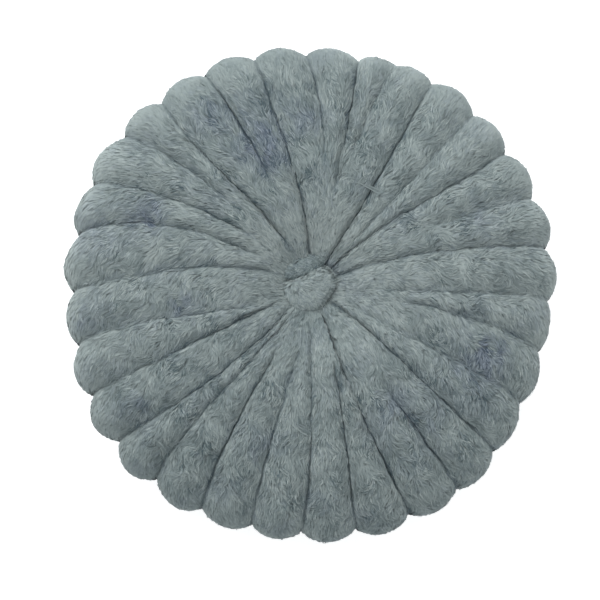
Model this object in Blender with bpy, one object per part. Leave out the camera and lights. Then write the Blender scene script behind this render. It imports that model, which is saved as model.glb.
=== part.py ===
"""A round floor cushion of short plush, sewn into channels that gather under a knot.

The cushion is one filled body. Its channels run out from the gather over the crown, round the
rim and a little way in under it, and it lies on its flat underside. A knot of the same plush
closes the gather: its face is a plump leaf, and the end of the strip shows behind that, lower.

Metres, +Z up. +Y is the top of the cushion as it is seen from above. Tables are in millimetres
and degrees, with angles counted anticlockwise from +X.
"""

import math
from collections import namedtuple

import bmesh
import bpy
from mathutils import Euler, Vector

MM = 0.001

# Driving sizes of the cushion, over the tips of the pile.
HEIGHT = 100 * MM
SPREAD = 225 * MM  # mean reach of the rim, which the crest column below varies
GATHER = Vector((1.0, 9.5, 0.0)) * MM  # where the channels meet: the crown leans over this far
DIMPLE_DEPTH = 31 * MM
DIMPLE_WIDTH = 54 * MM
SEAT_DEPTH = 8 * MM  # the pit in the dimple where the knot is sewn down
SEAT_WIDTH = 30 * MM
SQUARENESS = 3.0  # exponent of the side's superellipse: 2 is an ellipse, more is fuller
SETTLED = 6 * MM  # how much of the round underside is pressed flat where it rests

# The sewn channels.
GROOVE_PER_PITCH = 0.33  # a seam's depth as a share of the channel's width
DEEPEST_GROOVE = 13 * MM
LOBE_ROUNDNESS = 2.2  # exponent of a channel's cross-section: 2 is a parabola
FADE = 44 * MM  # length over which a seam that stops short of the gather runs out
UNDER_SEAM_FROM = 0.55  # share of the spread where the seams begin on the underside
UNDER_SEAM_FULL = 0.92

# How finely the body is divided.
SIDES_PER_LOBE = 6
TOP_RINGS = 16
UNDER_RINGS = 8
TOP_CROWDING = 1.7  # above 1 draws the top rings in towards the gather
UNDER_CROWDING = 1.3

# A row for each seam, anticlockwise. rim, middle and inner are its bearings: about the middle
# of the cushion at the rim, and about the gather at MIDDLE_AT and INNER_AT from it. notch is
# how far out the seam lies at the rim, crest is the reach of the channel that follows it, and
# stop is how near the gather the seam is still drawn in.
MIDDLE_AT = 125 * MM
INNER_AT = 50 * MM
Seam = namedtuple("Seam", "rim middle inner notch crest stop")
SEAMS = (
    Seam(10.5, 15.0, 20.4, 217.2, 228.2, 25),
    Seam(23.0, 26.0, 31.0, 218.8, 228.4, 120),
    Seam(35.8, 36.9, 43.0, 218.1, 228.4, 25),
    Seam(47.5, 46.5, 46.0, 220.7, 230.1, 52),
    Seam(60.0, 58.4, 57.0, 221.6, 227.4, 25),
    Seam(69.3, 73.0, 74.5, 223.2, 225.2, 128),
    Seam(78.6, 77.0, 77.0, 217.7, 225.5, 90),
    Seam(92.0, 84.5, 80.0, 217.7, 227.3, 118),
    Seam(103.7, 100.2, 94.0, 220.0, 229.3, 25),
    Seam(116.3, 112.0, 108.0, 221.6, 229.3, 92),
    Seam(127.8, 128.3, 120.8, 221.1, 230.7, 50),
    Seam(140.3, 135.0, 132.0, 221.8, 231.9, 100),
    Seam(153.8, 145.8, 138.5, 221.1, 228.2, 78),
    Seam(166.8, 155.4, 150.5, 216.8, 227.1, 62),
    Seam(179.8, 173.0, 162.5, 215.4, 224.5, 40),
    Seam(192.8, 192.8, 200.0, 215.6, 227.7, 55),
    Seam(204.9, 205.4, 205.2, 218.4, 231.4, 40),
    Seam(217.2, 223.0, 227.6, 219.5, 232.1, 25),
    Seam(230.3, 229.5, 233.0, 218.8, 229.6, 25),
    Seam(243.4, 241.0, 242.0, 218.6, 225.7, 70),
    Seam(255.9, 255.7, 259.0, 216.1, 224.5, 60),
    Seam(267.4, 270.0, 269.0, 215.9, 225.9, 40),
    Seam(280.9, 283.2, 288.0, 217.2, 228.0, 78),
    Seam(294.3, 291.4, 289.5, 219.5, 228.5, 30),
    Seam(307.0, 306.3, 306.0, 222.0, 228.0, 105),
    Seam(319.5, 319.8, 322.8, 219.5, 223.2, 25),
    Seam(332.4, 332.8, 332.0, 214.3, 221.6, 50),
    Seam(345.3, 349.8, 352.0, 213.8, 220.2, 90),
    Seam(358.3, 357.5, 356.0, 216.3, 225.7, 70),
)
LOBES = len(SEAMS)

# The knot's face, a plump leaf with a straight upper edge: a row for each corner of its
# outline, as a bearing and a reach from the knot's middle.
KNOT_MIDDLE = Vector((-1.4, 6.9, 76.6)) * MM
KNOT_HALF_HEIGHT = 9.4 * MM
Corner = namedtuple("Corner", "bearing reach")
KNOT_OUTLINE = (
    Corner(10, 24.5),
    Corner(32, 26.5),
    Corner(50, 25.0),
    Corner(80, 16.0),
    Corner(113, 13.2),
    Corner(145, 15.8),
    Corner(172, 22.5),
    Corner(199, 23.5),
    Corner(235, 24.0),
    Corner(263, 21.0),
    Corner(299, 21.5),
    Corner(327, 19.5),
    Corner(348, 22.0),
)
KNOT_FULLNESS = 2.4  # exponent of the leaf's superellipse in height
KNOT_SIDES = 28
KNOT_RINGS = 12

# The strip's end, a short roll along the knot's upper edge.
END_MIDDLE = Vector((-3.7, 28.0, 75.9)) * MM
END_HALF_SIZE = Vector((18.0, 5.9, 6.6)) * MM
END_TURN = math.radians(20)
END_SIDES = 20
END_RINGS = 10

PLUSH = (0.190, 0.231, 0.238, 1.0)
KNOT_PLUSH = (0.200, 0.242, 0.250, 1.0)
PLUSH_ROUGHNESS = 0.95


def blend(a, b, share):
    return a + (b - a) * share


def smooth_step(low, high, value):
    """0 below low, 1 above high, and an even S between them."""
    share = min(max((value - low) / (high - low), 0.0), 1.0)
    return share * share * (3 - 2 * share)


def seam_bearing(seam, reach):
    """A seam's bearing in degrees: the parabola through its inner, middle and rim bearings."""
    x = max(reach, INNER_AT)
    a, b, c = INNER_AT, MIDDLE_AT, SPREAD
    return (
        seam.inner * (x - b) * (x - c) / ((a - b) * (a - c))
        + seam.middle * (x - a) * (x - c) / ((b - a) * (b - c))
        + seam.rim * (x - a) * (x - b) / ((c - a) * (c - b))
    )


def side_profile(ring):
    """A crest's reach and height as shares of 1, where ring 0 is the gather and the last ring
    is the middle of the underside."""
    if ring <= TOP_RINGS:
        angle = math.pi / 2 * (ring / TOP_RINGS) ** TOP_CROWDING
        upward = 1
    else:
        angle = math.pi / 2 * ((TOP_RINGS + UNDER_RINGS - ring) / UNDER_RINGS) ** UNDER_CROWDING
        upward = -1
    reach = math.sin(angle) ** (2 / SQUARENESS)
    height = math.cos(angle) ** (2 / SQUARENESS)
    return reach, upward * height


def crest_reach(lobe, across):
    """How far out the rim's envelope lies, where across is -1 and 1 at a channel's seams."""
    neighbour = SEAMS[(lobe + (1 if across > 0 else -1)) % LOBES]
    shared = (SEAMS[lobe].crest + neighbour.crest) / 2
    return blend(SEAMS[lobe].crest, shared, across * across) * MM


def groove_depth(seam, reach, upper, rim_depth):
    """How far a seam is drawn in below the crests on either side of it."""
    if not upper:
        return rim_depth * smooth_step(UNDER_SEAM_FROM, UNDER_SEAM_FULL, reach / SPREAD)
    pitch = 2 * math.pi * reach / LOBES
    on_top = min(GROOVE_PER_PITCH * pitch, DEEPEST_GROOVE)
    stop = seam.stop * MM
    on_top *= smooth_step(stop - FADE / 2, stop + FADE / 2, reach)
    return blend(on_top, rim_depth, smooth_step(0.80, 1.0, reach / SPREAD))


def surface_point(lobe, share, ring):
    """The point of the cushion at this share of the way across a channel, on this ring."""
    across = 2 * share - 1
    left = SEAMS[lobe]
    right = SEAMS[(lobe + 1) % LOBES]
    turn = 360 if lobe + 1 == LOBES else 0
    spread = crest_reach(lobe, across)
    reach_share, height_share = side_profile(ring)
    reach = spread * reach_share
    upper = height_share > 0

    seam = left if across < 0 else right
    at_rim = spread - seam.notch * MM
    drawn_in = groove_depth(seam, reach, upper, at_rim) * abs(across) ** LOBE_ROUNDNESS

    # The seam is drawn in square to the side's own curve.
    half = HEIGHT / 2 + (0 if upper else SETTLED)
    steep = abs(height_share) ** (SQUARENESS - 1) / half
    outward = Vector((reach_share ** (SQUARENESS - 1) / SPREAD, math.copysign(steep, height_share)))
    outward.normalize()
    reach -= drawn_in * outward.x
    height = HEIGHT / 2 + half * height_share - drawn_in * outward.y
    if upper:
        height -= DIMPLE_DEPTH * math.exp(-((reach / DIMPLE_WIDTH) ** 2))
        height -= SEAT_DEPTH * math.exp(-((reach / SEAT_WIDTH) ** 4))

    first = seam_bearing(left, reach)
    last = seam_bearing(right, reach) + turn
    if not upper:
        first, last = left.rim, right.rim + turn
    bearing = math.radians(blend(first, last, share))
    middle = GATHER * max(height_share, 0.0)
    around = Vector((math.cos(bearing), math.sin(bearing), 0)) * reach
    return middle + around + Vector((0, 0, max(height, 0.0)))


def plush(name, colour):
    material = bpy.data.materials.new(name)
    material.use_nodes = True
    shader = material.node_tree.nodes["Principled BSDF"]
    shader.inputs["Base Color"].default_value = colour
    shader.inputs["Roughness"].default_value = PLUSH_ROUGHNESS
    shader.inputs["Metallic"].default_value = 0.0
    return material


def mesh_object(name, bm, collection, colour):
    mesh = bpy.data.meshes.new(name)
    bmesh.ops.recalc_face_normals(bm, faces=bm.faces)
    bm.to_mesh(mesh)
    bm.free()
    mesh.shade_smooth()
    mesh.materials.append(plush(f"{name} plush", colour))
    thing = bpy.data.objects.new(name, mesh)
    collection.objects.link(thing)
    return thing


def cushion_body(collection):
    """A sphere with a meridian for each side of each channel, moved onto the cushion's form.
    Its first meridian is the one on +Y, so they are counted from there."""
    columns = LOBES * SIDES_PER_LOBE
    rings = TOP_RINGS + UNDER_RINGS
    bm = bmesh.new()
    bmesh.ops.create_uvsphere(bm, u_segments=columns, v_segments=rings, radius=1.0)
    for vertex in bm.verts:
        ring = round(math.acos(max(-1.0, min(1.0, vertex.co.z))) / math.pi * rings)
        turned = math.atan2(-vertex.co.x, vertex.co.y) / (2 * math.pi)
        column = round(turned * columns) % columns
        lobe, side = divmod(column, SIDES_PER_LOBE)
        vertex.co = surface_point(lobe, side / SIDES_PER_LOBE, ring)
    bmesh.ops.triangulate(bm, faces=bm.faces, quad_method="SHORT_EDGE")
    return mesh_object("cushion", bm, collection, PLUSH)


def outline_reach(bearing):
    """The leaf's outline in this direction, by a smooth step from corner to corner."""
    for corner, after in zip(KNOT_OUTLINE, KNOT_OUTLINE[1:] + KNOT_OUTLINE[:1]):
        width = (after.bearing - corner.bearing) % 360
        past = (bearing - corner.bearing) % 360
        if past < width:
            return blend(corner.reach, after.reach, smooth_step(0, 1, past / width)) * MM
    return KNOT_OUTLINE[0].reach * MM


def knot_face(collection):
    """A sphere stretched to the leaf's outline and plumped in height."""
    bm = bmesh.new()
    bmesh.ops.create_uvsphere(bm, u_segments=KNOT_SIDES, v_segments=KNOT_RINGS, radius=1.0)
    for vertex in bm.verts:
        x, y, z = vertex.co
        level = math.hypot(x, y)
        reach = outline_reach(math.degrees(math.atan2(y, x)) % 360)
        full = level ** (2 / KNOT_FULLNESS)
        scale = reach * full / level if level > 0.001 else 0.0
        lift = math.copysign(abs(z) ** (2 / KNOT_FULLNESS), z) * KNOT_HALF_HEIGHT
        vertex.co = KNOT_MIDDLE + Vector((x * scale, y * scale, lift))
    return mesh_object("centre_knot", bm, collection, KNOT_PLUSH)


def knot_end(collection):
    """A sphere drawn out into a short roll."""
    bm = bmesh.new()
    bmesh.ops.create_uvsphere(bm, u_segments=END_SIDES, v_segments=END_RINGS, radius=1.0)
    for vertex in bm.verts:
        vertex.co = vertex.co * END_HALF_SIZE
        vertex.co.rotate(Euler((0, 0, END_TURN)))
        vertex.co += END_MIDDLE
    return mesh_object("knot_end", bm, collection, KNOT_PLUSH)


def centre_on_origin(things):
    """Moves every piece alike, so that the cushion's box stands on the middle of its base."""
    points = [vertex.co for vertex in things[0].data.vertices]
    middle_x = (min(p.x for p in points) + max(p.x for p in points)) / 2
    middle_y = (min(p.y for p in points) + max(p.y for p in points)) / 2
    for thing in things:
        for vertex in thing.data.vertices:
            vertex.co -= Vector((middle_x, middle_y, 0))


def main():
    for thing in list(bpy.data.objects):
        bpy.data.objects.remove(thing, do_unlink=True)
    collection = bpy.data.collections.new("plush cushion")
    bpy.context.scene.collection.children.link(collection)
    things = [make(collection) for make in (cushion_body, knot_face, knot_end)]
    centre_on_origin(things)


main()
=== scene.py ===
# %% [markdown]
# Pleated plush cushion.
# The real thing is a round floor cushion: a cover of short, dense plush over fibre filling, sewn
# into 29 channels that run from a gather in the middle out over the rim, with a knot of the same
# plush over the gather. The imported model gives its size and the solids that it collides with, and
# this script dresses them. It builds the backing cloth of the cover, inflates it, and then grows
# the pile on it, tuft by tuft.

import math
from collections import namedtuple

import bpy
import numpy as np
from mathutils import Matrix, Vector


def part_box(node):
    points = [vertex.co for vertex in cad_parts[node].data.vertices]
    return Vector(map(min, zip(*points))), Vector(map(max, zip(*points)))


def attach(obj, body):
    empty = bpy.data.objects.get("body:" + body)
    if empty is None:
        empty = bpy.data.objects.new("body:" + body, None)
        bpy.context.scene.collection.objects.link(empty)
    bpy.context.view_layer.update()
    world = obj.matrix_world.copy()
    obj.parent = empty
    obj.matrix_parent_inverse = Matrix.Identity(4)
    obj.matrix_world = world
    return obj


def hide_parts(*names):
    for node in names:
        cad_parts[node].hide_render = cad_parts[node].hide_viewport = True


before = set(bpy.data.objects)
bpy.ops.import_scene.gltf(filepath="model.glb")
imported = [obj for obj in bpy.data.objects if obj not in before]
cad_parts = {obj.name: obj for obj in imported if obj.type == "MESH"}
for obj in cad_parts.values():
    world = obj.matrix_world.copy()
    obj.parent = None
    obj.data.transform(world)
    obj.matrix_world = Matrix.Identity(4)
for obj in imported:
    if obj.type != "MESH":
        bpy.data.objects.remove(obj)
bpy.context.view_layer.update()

MM = 0.001
scene = bpy.context.scene
low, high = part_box("cushion")
print("cushion solid, mm:", [round((b - a) / MM, 1) for a, b in zip(low, high)])

# %% [markdown]
# The camera looks straight down, as a picture for a shop page is taken, through a long lens from
# far above, so that the rim isn't seen in perspective. Its sight line is a little off the middle,
# because the cushion doesn't lie quite in the middle of that picture.

# %% Camera
FRAME_WIDTH = 548.8 * MM  # what the picture spans at the height of the rim
RIM_HEIGHT = 50 * MM
CAMERA_ABOVE_RIM = 2.2
CAMERA_OFF_MIDDLE = (-9.1 * MM, -4.1 * MM)
SENSOR_WIDTH = 36.0  # in mm, as Blender gives a lens

camera_data = bpy.data.cameras.new("camera")
camera_data.sensor_width = SENSOR_WIDTH
camera_data.lens = SENSOR_WIDTH * CAMERA_ABOVE_RIM / FRAME_WIDTH
camera = bpy.data.objects.new("camera", camera_data)
camera.location = (*CAMERA_OFF_MIDDLE, RIM_HEIGHT + CAMERA_ABOVE_RIM)
scene.collection.objects.link(camera)
scene.camera = camera
print("lens, mm:", round(camera_data.lens, 1))

# %% [markdown]
# Plush is read by its soft shadows, so the light is one big soft panel from above the top of the
# picture and a little to the left, and an even fill from all round. The floor is pale, and it
# glows slightly, as a sheet of backlit paper does, so that it stays white under the cushion's rim.


# %% Colour and node helpers
def linear(hex_colour):
    """A colour given as an sRGB hex string, as the linear RGBA that shader sockets take."""
    channels = [int(hex_colour[i : i + 2], 16) / 255 for i in (1, 3, 5)]
    return (*[c / 12.92 if c <= 0.04045 else ((c + 0.055) / 1.055) ** 2.4 for c in channels], 1.0)


def add_node(tree, kind, settings=None, **links):
    """Adds a node, sets its properties and sockets, and links the sockets given by name."""
    node = tree.nodes.new(kind)
    for name, value in (settings or {}).items():
        if name in node.inputs:
            node.inputs[name].default_value = value
        else:
            setattr(node, name, value)
    for name, source in links.items():
        tree.links.new(source, node.inputs[name.replace("_", " ")])
    return node


def new_material(name):
    """An empty material with its Principled shader, ready for nodes."""
    material = bpy.data.materials.new(name)
    material.use_nodes = True
    tree = material.node_tree
    return material, tree, tree.nodes["Principled BSDF"]


# %% Light and floor
KEY_SIZE = 2.6
KEY_PLACE = (-0.7, 1.9, 2.1)
KEY_POWER = 61.6
FILL_STRENGTH = 0.64
FLOOR_SIZE = 8.0
FLOOR_GLOW = 0.6

key_data = bpy.data.lights.new("soft panel", "AREA")
key_data.shape = "SQUARE"
key_data.size = KEY_SIZE
key_data.energy = KEY_POWER
key = bpy.data.objects.new("soft panel", key_data)
key.location = KEY_PLACE
key.rotation_euler = (-key.location).to_track_quat("-Z", "Y").to_euler()
scene.collection.objects.link(key)

world = bpy.data.worlds.new("studio")
world.use_nodes = True
world.node_tree.nodes["Background"].inputs["Color"].default_value = linear("#FBFCFD")
world.node_tree.nodes["Background"].inputs["Strength"].default_value = FILL_STRENGTH
scene.world = world
scene.view_settings.view_transform = "Standard"

bpy.ops.mesh.primitive_plane_add(size=FLOOR_SIZE)
floor = bpy.context.object
floor.name = "floor"
paper, _, paper_shader = new_material("matt white studio paper")
paper_shader.inputs["Base Color"].default_value = linear("#F4F5F5")
paper_shader.inputs["Roughness"].default_value = 0.95
paper_shader.inputs["Emission Color"].default_value = linear("#FFFFFF")
paper_shader.inputs["Emission Strength"].default_value = FLOOR_GLOW
floor.data.materials.append(paper)
print("lights: one panel", KEY_SIZE, "m wide and an even fill")

# %% [markdown]
# The seams. A pleated cushion is never even: the channels are sewn by eye, so each seam has its
# own bearing at the rim, half way in and near the gather, and some stop before they reach it. The
# table is the same one that the solid was worked out from, so pile and solid agree, with two more
# columns for how tightly the thread is pulled. Modelling each channel by hand, or carving them
# with a brush, would lose that.

# %% Seam table
HEIGHT = 100 * MM
SPREAD = 225 * MM
GATHER = np.array((1.0, 9.5)) * MM
DIMPLE_DEPTH = 31 * MM
DIMPLE_WIDTH = 54 * MM
SEAT_DEPTH = 5 * MM  # shallower than the solid's, because the pile fills it
SEAT_WIDTH = 24 * MM
SQUARENESS = 3.0  # exponent of the side's superellipse
SETTLED = 6 * MM
GROOVE_PER_PITCH = 0.22
DEEPEST_GROOVE = 13 * MM
FADE = 24 * MM
UNDER_SEAM_FROM, UNDER_SEAM_FULL = 0.55, 0.92
INNER_AT, MIDDLE_AT = 50 * MM, 125 * MM

# rim, middle and inner are bearings in degrees; notch, crest and stop are reaches in mm; inward
# and outward are how tightly the thread is pulled on the inner and the outer half of the crown,
# from 0, where a seam hardly marks the pile, to 1, where it parts it.
Seam = namedtuple("Seam", "rim middle inner notch crest stop inward outward")
SEAMS = (
    Seam(10.5, 15.0, 20.4, 217.2, 228.2, 25, 0.38, 0.4),
    Seam(23.0, 26.0, 31.0, 218.8, 228.4, 120, 0.2, 0.15),
    Seam(35.8, 36.9, 43.0, 218.1, 228.4, 25, 0.5, 0.48),
    Seam(47.5, 46.5, 46.0, 220.7, 230.1, 52, 0.34, 0.26),
    Seam(60.0, 58.4, 57.0, 221.6, 227.4, 25, 0.8, 0.52),
    Seam(69.3, 73.0, 74.5, 223.2, 225.2, 128, 0.2, 0.25),
    Seam(78.6, 77.0, 77.0, 217.7, 225.5, 90, 0.32, 0.7),
    Seam(92.0, 84.5, 80.0, 217.7, 227.3, 118, 0.26, 0.6),
    Seam(103.7, 100.2, 94.0, 220.0, 229.3, 25, 0.7, 0.65),
    Seam(116.3, 112.0, 108.0, 221.6, 229.3, 92, 0.3, 0.85),
    Seam(127.8, 128.3, 120.8, 221.1, 230.7, 50, 1.0, 0.5),
    Seam(140.3, 135.0, 132.0, 221.8, 231.9, 100, 0.22, 0.3),
    Seam(153.8, 145.8, 138.5, 221.1, 228.2, 78, 0.45, 0.36),
    Seam(166.8, 155.4, 150.5, 216.8, 227.1, 62, 0.4, 0.38),
    Seam(179.8, 173.0, 162.5, 215.4, 224.5, 40, 0.42, 0.27),
    Seam(192.8, 192.8, 200.0, 215.6, 227.7, 55, 0.33, 0.2),
    Seam(204.9, 205.4, 205.2, 218.4, 231.4, 40, 0.54, 0.3),
    Seam(217.2, 223.0, 227.6, 219.5, 232.1, 25, 0.52, 0.38),
    Seam(230.3, 229.5, 233.0, 218.8, 229.6, 25, 0.28, 0.4),
    Seam(243.4, 241.0, 242.0, 218.6, 225.7, 70, 0.6, 0.68),
    Seam(255.9, 255.7, 259.0, 216.1, 224.5, 60, 0.38, 0.56),
    Seam(267.4, 270.0, 269.0, 215.9, 225.9, 40, 0.4, 0.65),
    Seam(280.9, 283.2, 288.0, 217.2, 228.0, 78, 0.64, 0.65),
    Seam(294.3, 291.4, 289.5, 219.5, 228.5, 30, 0.64, 0.86),
    Seam(307.0, 306.3, 306.0, 222.0, 228.0, 105, 0.3, 0.75),
    Seam(319.5, 319.8, 322.8, 219.5, 223.2, 25, 0.57, 0.58),
    Seam(332.4, 332.8, 332.0, 214.3, 221.6, 50, 0.2, 0.26),
    Seam(345.3, 349.8, 352.0, 213.8, 220.2, 90, 0.38, 0.3),
    Seam(358.3, 357.5, 356.0, 216.3, 225.7, 70, 0.25, 0.3),
)
LOBES = len(SEAMS)
SEAM = {name: np.array([getattr(seam, name) for seam in SEAMS]) for name in Seam._fields}
for length in ("notch", "crest", "stop"):
    SEAM[length] = SEAM[length] * MM
print("seams:", LOBES, "at about", round(2 * math.pi * SPREAD / LOBES / MM), "mm apart at the rim")


# %% [markdown]
# The backing cloth is one closed surface: rings from the gather out over the crown, round the rim
# and in underneath, each cut into the same columns, 14 to a channel. The side is a superellipse,
# which is fuller than an ellipse, as a well filled cushion is. Each channel's section is round on
# top and steep where it meets its neighbour, so that a seam is a narrow crease and not a valley.
# The cloth lies inside the solid by the depth of the pile, because the solid is the tips' surface.

# %% Shape helpers
COLUMNS_PER_LOBE = 14
COLUMNS = LOBES * COLUMNS_PER_LOBE
TOP_RINGS = 58
UNDER_RINGS = 22
PROFILE_STEPS = 4000
PILE_DEPTH = 2.8 * MM
PILE_DEPTH_SIDE = 1.7 * MM
PILE_DEPTH_UNDER = 1.6 * MM
CREASE = 4.0 * MM  # how far the thread pulls a seam in past the groove
CREASE_WIDTH = 1.35 * MM
WIDER_INSIDE = 0.6  # by how much of its width a crease is wider near the gather
SECTION_ON_TOP, SECTION_AT_RIM = 0.58, 1.0  # 0.5 is a half circle, 1 a parabola
LOOSE_GROOVE = 0.45  # how deep a seam that isn't pulled lies, as a share of a tight one's depth
TAUT = 1.1  # above a pull of 1 / TAUT a seam's section is wholly that of a tight one
PULL_CHANGES = (90 * MM, 180 * MM)  # the reaches between which inward gives way to outward
CREASE_NARROWS = (35 * MM, 110 * MM)
BUNCHED = (60 * MM, 130 * MM)  # the cloth is bunched within the first, and no more past the second
BUNCHED_CREASE = 0.5  # by how much of its depth a crease is deeper where the cloth is bunched
RIMWARD = (0.80, 1.0)  # shares of the spread between which the grooves become the rim's notches
SIDE = (0.86, 0.98)  # shares of the reach between which the crown turns into the side
WANDER = 0.35 * MM  # how far a seam strays from its smooth line
STRAY_SEED, STRAY_LENGTHS = 5, ((18, 30), (38, 60))  # mm, shortest and longest of either wave
STRAY_ENDS = (0.8, 0.98)
LUMP, LUMP_LENGTH = 0.3 * MM, 11 * MM  # the filling's small unevenness under the cover
LUMP_SEEDS, LUMPS_END = (41, 42), (0.82, 0.95)


def smooth_step(start, end, value):
    """0 before start, 1 after end, and 3s^2 - 2s^3 between them."""
    share = np.clip((value - start) / (end - start), 0.0, 1.0)
    return share * share * (3 - 2 * share)


def side_profile(rings, upward):
    """Reach and height shares along a quarter of the superellipse, evenly spaced along its arc:
    reach = sin(t)^(2/n) and height = cos(t)^(2/n), resampled by the arc length summed up so far."""
    angle = np.linspace(0, np.pi / 2, PROFILE_STEPS)
    reach = np.sin(angle) ** (2 / SQUARENESS)
    height = np.cos(angle) ** (2 / SQUARENESS)
    run = np.hypot(np.diff(reach) * SPREAD, np.diff(height) * HEIGHT / 2)
    arc = np.concatenate(([0], np.cumsum(run)))
    even = np.linspace(0, arc[-1], rings + 1)
    return np.interp(even, arc, reach), upward * np.interp(even, arc, height)


def seam_bearings(reach):
    """Each seam's bearing at each reach, in degrees: the parabola through its three bearings."""
    x = np.maximum(reach, INNER_AT)[..., None]
    a, b, c = INNER_AT, MIDDLE_AT, SPREAD
    return (
        SEAM["inner"] * (x - b) * (x - c) / ((a - b) * (a - c))
        + SEAM["middle"] * (x - a) * (x - c) / ((b - a) * (b - c))
        + SEAM["rim"] * (x - a) * (x - b) / ((c - a) * (c - b))
    )


def seam_strength(seam, reach):
    """How far a seam on the crown is sewn in, from 0 inside its stop to 1."""
    return smooth_step(SEAM["stop"][seam] - FADE / 2, SEAM["stop"][seam] + FADE / 2, reach)


def seam_pull(seam, reach):
    """How tightly a seam is pulled at each reach, between its inward and its outward pull."""
    share = smooth_step(*PULL_CHANGES, reach)
    return SEAM["inward"][seam] * (1 - share) + SEAM["outward"][seam] * share


def crease_width(reach):
    """Half the width of a crease at each reach: wider near the gather, where the cloth bunches."""
    return CREASE_WIDTH * (1 + WIDER_INSIDE * (1 - smooth_step(*CREASE_NARROWS, reach)))


def bunched(reach):
    """How bunched the cloth is at each reach: 1 near the gather, and 0 further out."""
    return 1 - smooth_step(*BUNCHED, reach)


def stray(reach):
    """How far each seam strays sideways at each reach, in metres: two sine waves along it, with
    lengths and starts of its own, that die out at the rim."""
    random = np.random.default_rng(STRAY_SEED)
    total = 0
    for shortest, longest in STRAY_LENGTHS:
        length = random.uniform(shortest, longest, LOBES) * MM
        total = total + np.sin(2 * np.pi * (reach[..., None] / length + random.uniform(0, 1, LOBES)))
    return WANDER * total * (1 - smooth_step(*STRAY_ENDS, reach / SPREAD))[..., None]


# %% Columns of the cloth
# across is 2 share - 1, so it is 0 on a channel's crest and 1 or -1 at its seams
share = np.arange(COLUMNS) % COLUMNS_PER_LOBE / COLUMNS_PER_LOBE
across = 2 * share - 1
lobe = np.arange(COLUMNS) // COLUMNS_PER_LOBE
following = (lobe + 1) % LOBES
past_turn = np.where(following == 0, 360, 0)
nearest_seam = np.where(across > 0, following, lobe)
print("columns:", COLUMNS, "of them on a seam:", int((across == -1).sum()))


def crest_spread():
    """How far each column reaches: its channel's crest, easing to the mean of the two crests at
    a seam by across^2."""
    neighbour = np.where(across > 0, following, (lobe - 1) % LOBES)
    shared = (SEAM["crest"][lobe] + SEAM["crest"][neighbour]) / 2
    return SEAM["crest"][lobe] + (shared - SEAM["crest"][lobe]) * across**2


def column_bearings(reach, upper):
    """Each column's bearing on each ring, in radians: its share of the way between its two seams,
    which bend and stray on top and run straight underneath."""
    strayed = np.degrees(stray(reach) / np.maximum(reach[..., None], INNER_AT))
    bearings = seam_bearings(np.abs(reach)) + strayed
    columns = np.arange(COLUMNS)
    first = bearings[:, columns, lobe]
    last = bearings[:, columns, following] + past_turn
    rim_first = SEAM["rim"][lobe]
    rim_last = SEAM["rim"][following] + past_turn
    on_top = first + (last - first) * share
    return np.radians(np.where(upper, on_top, rim_first + (rim_last - rim_first) * share))


# %% How the seams draw the cloth in
NARROWEST_PITCH_AT = 10 * MM  # nearer to the gather the channels are taken to be as wide as here


def drawn_in_by_seams(reach, rim_depth, upper):
    """How far the cloth is drawn in, and how far each point lies in a crease, from 0 to 1, which
    sets the crease's painted shade. A tight seam's section is groove * (1 - (1 - |across|^2)^section),
    a loose one's is groove * (1 - cos(pi across)) / 2, and the crease adds a bell curve at the seam
    itself."""
    pitch = 2 * np.pi * np.maximum(reach, NARROWEST_PITCH_AT) / LOBES
    strength = seam_strength(nearest_seam, reach)
    pull = seam_pull(nearest_seam, reach)
    on_top = np.minimum(GROOVE_PER_PITCH * pitch, DEEPEST_GROOVE) * strength
    on_top = on_top * (LOOSE_GROOVE + (1 - LOOSE_GROOVE) * pull)
    rimward = smooth_step(*RIMWARD, reach / SPREAD)
    on_top = on_top + (rim_depth - on_top) * rimward
    under_strength = smooth_step(UNDER_SEAM_FROM, UNDER_SEAM_FULL, reach / SPREAD)
    groove = np.where(upper, on_top, rim_depth * under_strength)
    sewn = np.where(upper, np.maximum(strength, rimward), under_strength)
    section = SECTION_ON_TOP + (SECTION_AT_RIM - SECTION_ON_TOP) * rimward
    tight = 1 - (1 - np.abs(across) ** 2) ** section
    loose = (1 - np.cos(np.pi * across)) / 2
    taut = np.maximum(np.minimum(TAUT * pull, 1), rimward)
    crease = CREASE * (1 + BUNCHED_CREASE * bunched(reach)) * sewn * pull * (1 - rimward)
    from_seam = (1 - np.abs(across)) * pitch / 2
    bell = np.exp(-((from_seam / crease_width(reach)) ** 2))
    drawn_in = groove * (loose + (tight - loose) * taut) + crease * bell
    return drawn_in, sewn * pull * (1 - rimward) * bell


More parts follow.
